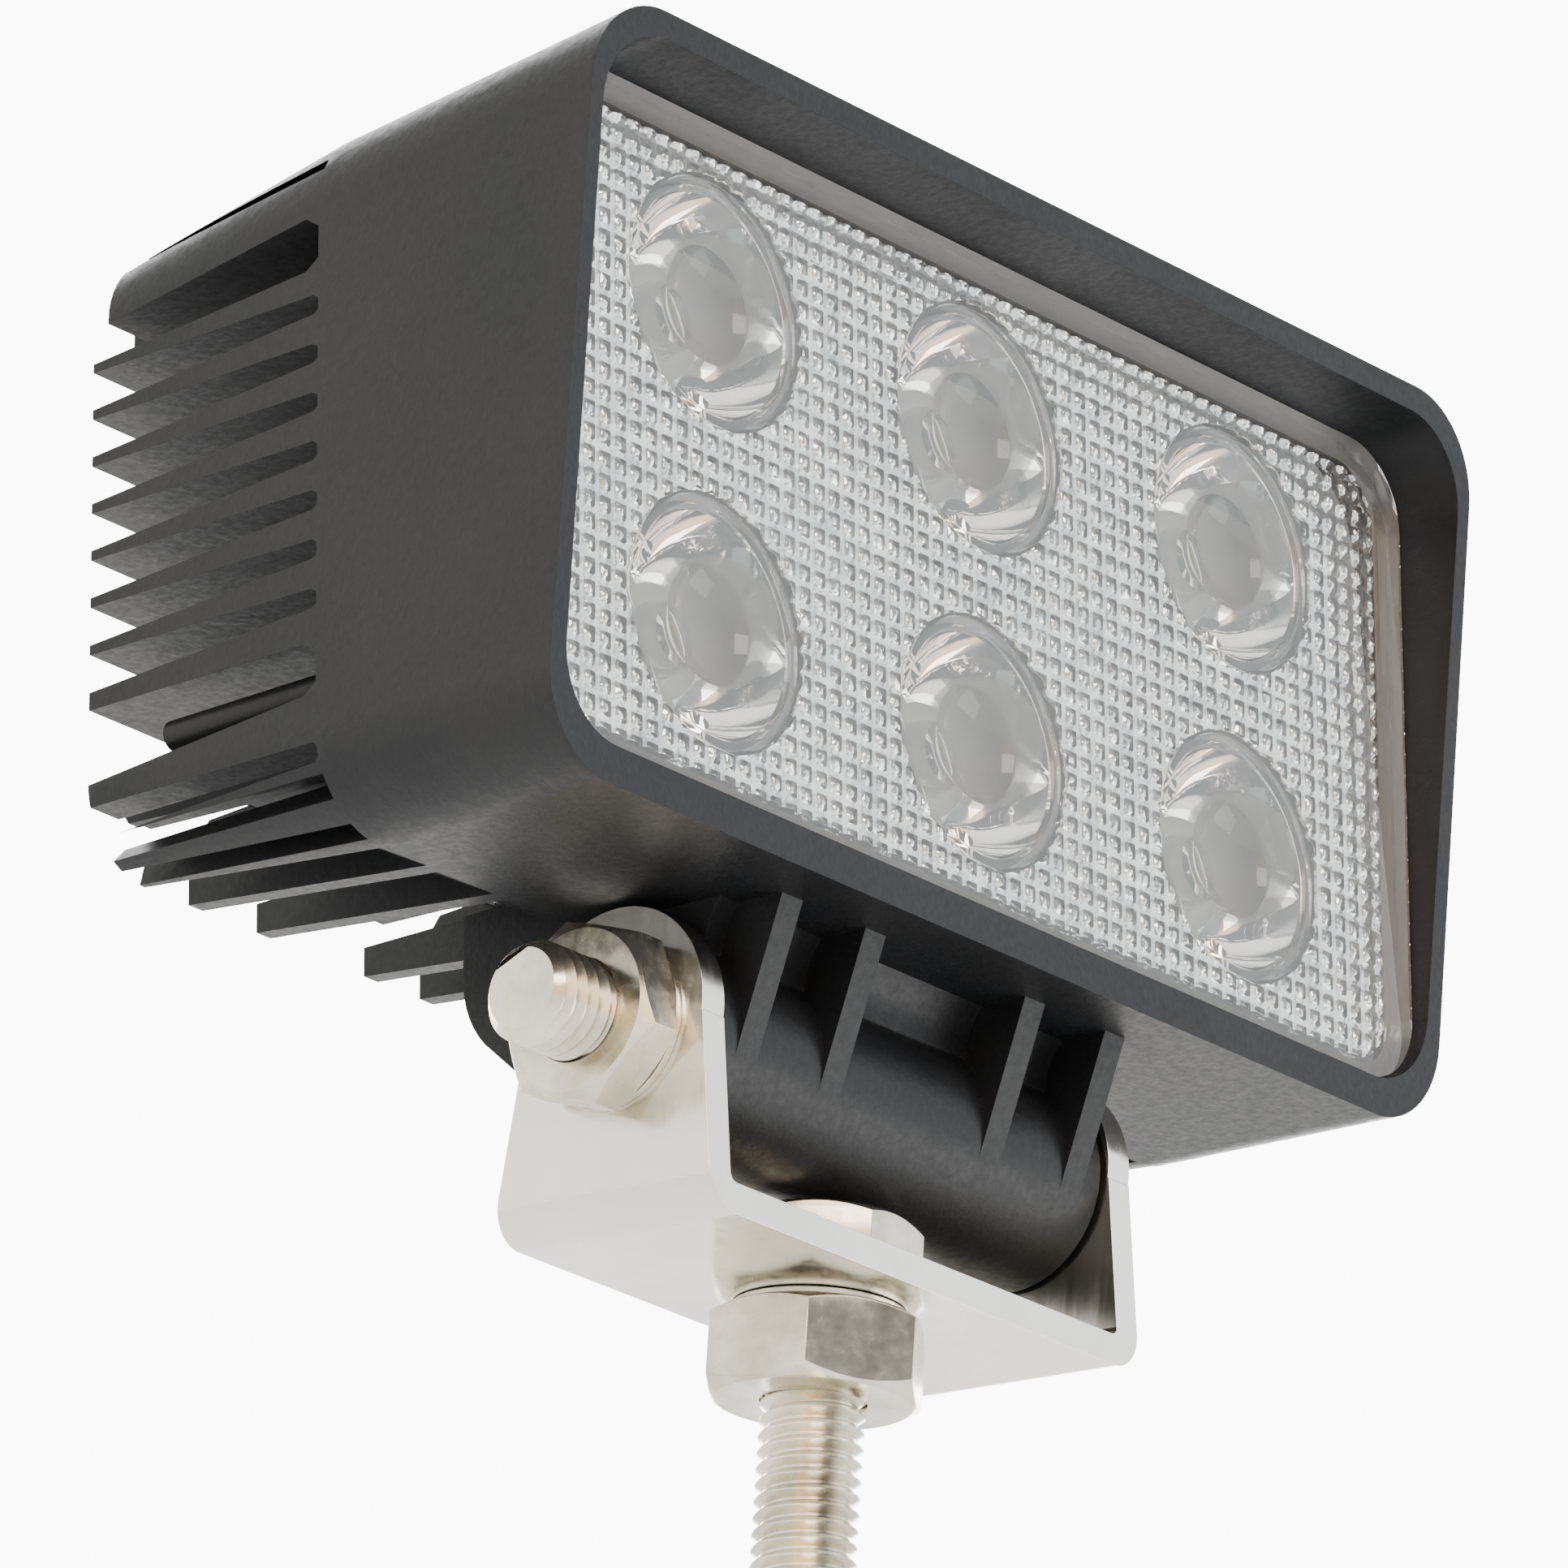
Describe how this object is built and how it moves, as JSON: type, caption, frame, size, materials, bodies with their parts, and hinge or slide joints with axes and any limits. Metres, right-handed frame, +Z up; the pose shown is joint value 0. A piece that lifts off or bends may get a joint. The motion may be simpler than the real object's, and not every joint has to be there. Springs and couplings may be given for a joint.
{
  "type": "fog light",
  "caption": "Rectangular fog light in a finned black die-cast housing with a hooded clear lens over round optics, pivoting on a bright U bracket with one threaded stud.",
  "frame": {"origin": "on the mounting stud's axis, in the plane of the underside of the bracket's base", "axes": "+Z up along the stud towards the lamp, the lens faces -Y, and the pivot bolt runs along X with its nut at -X"},
  "size_m": [0.1068, 0.0506, 0.1171],
  "materials": {
    "housing_coat": "satin black powder coat on die-cast aluminium",
    "lens_clear": "clear polycarbonate with a fine pillow pattern",
    "optic_clear": "clear moulded acrylic",
    "bright_tray": "vacuum-metallised plastic",
    "gasket_rubber": "matt silicone",
    "gasket_clear": "translucent pale silicone",
    "white_board": "white solder mask on aluminium core",
    "thermal_pad": "grey filled silicone",
    "emitter_yellow": "phosphor under clear silicone",
    "green_board": "green solder mask",
    "black_plastic": "moulded epoxy",
    "can_aluminium": "drawn can",
    "red_insulation": "silicone insulation",
    "black_insulation": "silicone insulation",
    "gland_nylon": "moulded nylon",
    "bright_sheet": "bright nickel over steel sheet",
    "zinc_steel": "bright zinc plate, slightly warm"
  },
  "bodies": {
    "stud": {"mounting_bolt": "zinc_steel"},
    "washer": {"mounting_washer": "zinc_steel"},
    "nut": {"mounting_nut": "zinc_steel"},
    "bracket": {"bracket": "bright_sheet", "pivot_bolt": "zinc_steel", "pivot_washer": "zinc_steel", "pivot_nut": "zinc_steel"},
    "lamp": {"housing": "housing_coat", "lens": "lens_clear", "lens_gasket": "gasket_clear", "reflector_tray": "bright_tray", "led_board": "white_board", "thermal_pad": "thermal_pad", "board_screws": "zinc_steel", "driver_board": "green_board", "driver_inductor": "black_plastic", "driver_capacitor_input": "can_aluminium", "driver_capacitor_output": "can_aluminium", "driver_chip": "black_plastic", "led_lead_red": "red_insulation", "led_lead_black": "black_insulation", "cable_gland": "gland_nylon", "gland_seal": "gasket_rubber", "gland_nut": "gland_nylon", "optic_1": "optic_clear", "optic_2": "optic_clear", "optic_3": "optic_clear", "optic_4": "optic_clear", "optic_5": "optic_clear", "optic_6": "optic_clear", "led_1": "emitter_yellow", "led_2": "emitter_yellow", "led_3": "emitter_yellow", "led_4": "emitter_yellow", "led_5": "emitter_yellow", "led_6": "emitter_yellow"}
  },
  "joints": [
    {"name": "swivel", "type": "hinge", "parent": "stud", "child": "bracket", "pos_m": [0, 0, 0], "axis": [0, 0, 1], "continuous": true},
    {"name": "tilt", "type": "hinge", "parent": "bracket", "child": "lamp", "pos_m": [0, 0, 0.0151], "axis": [1, 0, 0], "range_deg": [-34, 75]},
    {"name": "nut_travel", "type": "slide", "parent": "stud", "child": "washer", "axis": [0, 0, -1], "range_m": [0, 0.02]},
    {"name": "nut_spin", "type": "hinge", "parent": "washer", "child": "nut", "pos_m": [0, 0, -0.005], "axis": [0, 0, -1], "range_deg": [0, 5760]}
  ],
  "couplings": [
    {"joint": "nut_travel", "follows": "nut_spin", "m_per_rad": 0.00019894}
  ]
}
